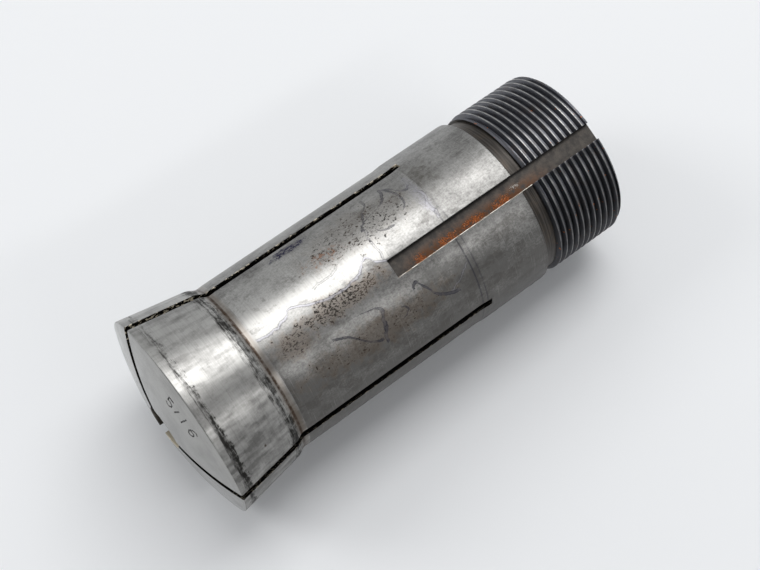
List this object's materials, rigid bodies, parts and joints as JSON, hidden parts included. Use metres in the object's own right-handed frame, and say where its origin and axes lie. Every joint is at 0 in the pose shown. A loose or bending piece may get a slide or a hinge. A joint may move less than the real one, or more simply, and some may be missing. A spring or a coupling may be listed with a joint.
{
  "type": "5c lathe collet",
  "caption": "Round spring collet with a tapered slotted head, a crowned face, a work bore, a keyway, a ground bearing and a draw thread at its rear end.",
  "frame": {"origin": "centre of the flat rear face at the threaded end, on the collet's axis", "axes": "+Z along the axis from the threaded end to the crowned face, keyway towards -Y"},
  "size_m": [0.0372, 0.0371, 0.0849],
  "materials": {
    "ground_steel": "hardened and ground steel, worn, stained and lightly pitted, with a darkened thread"
  },
  "bodies": {
    "root": {"collet": "ground_steel"}
  },
  "joints": []
}
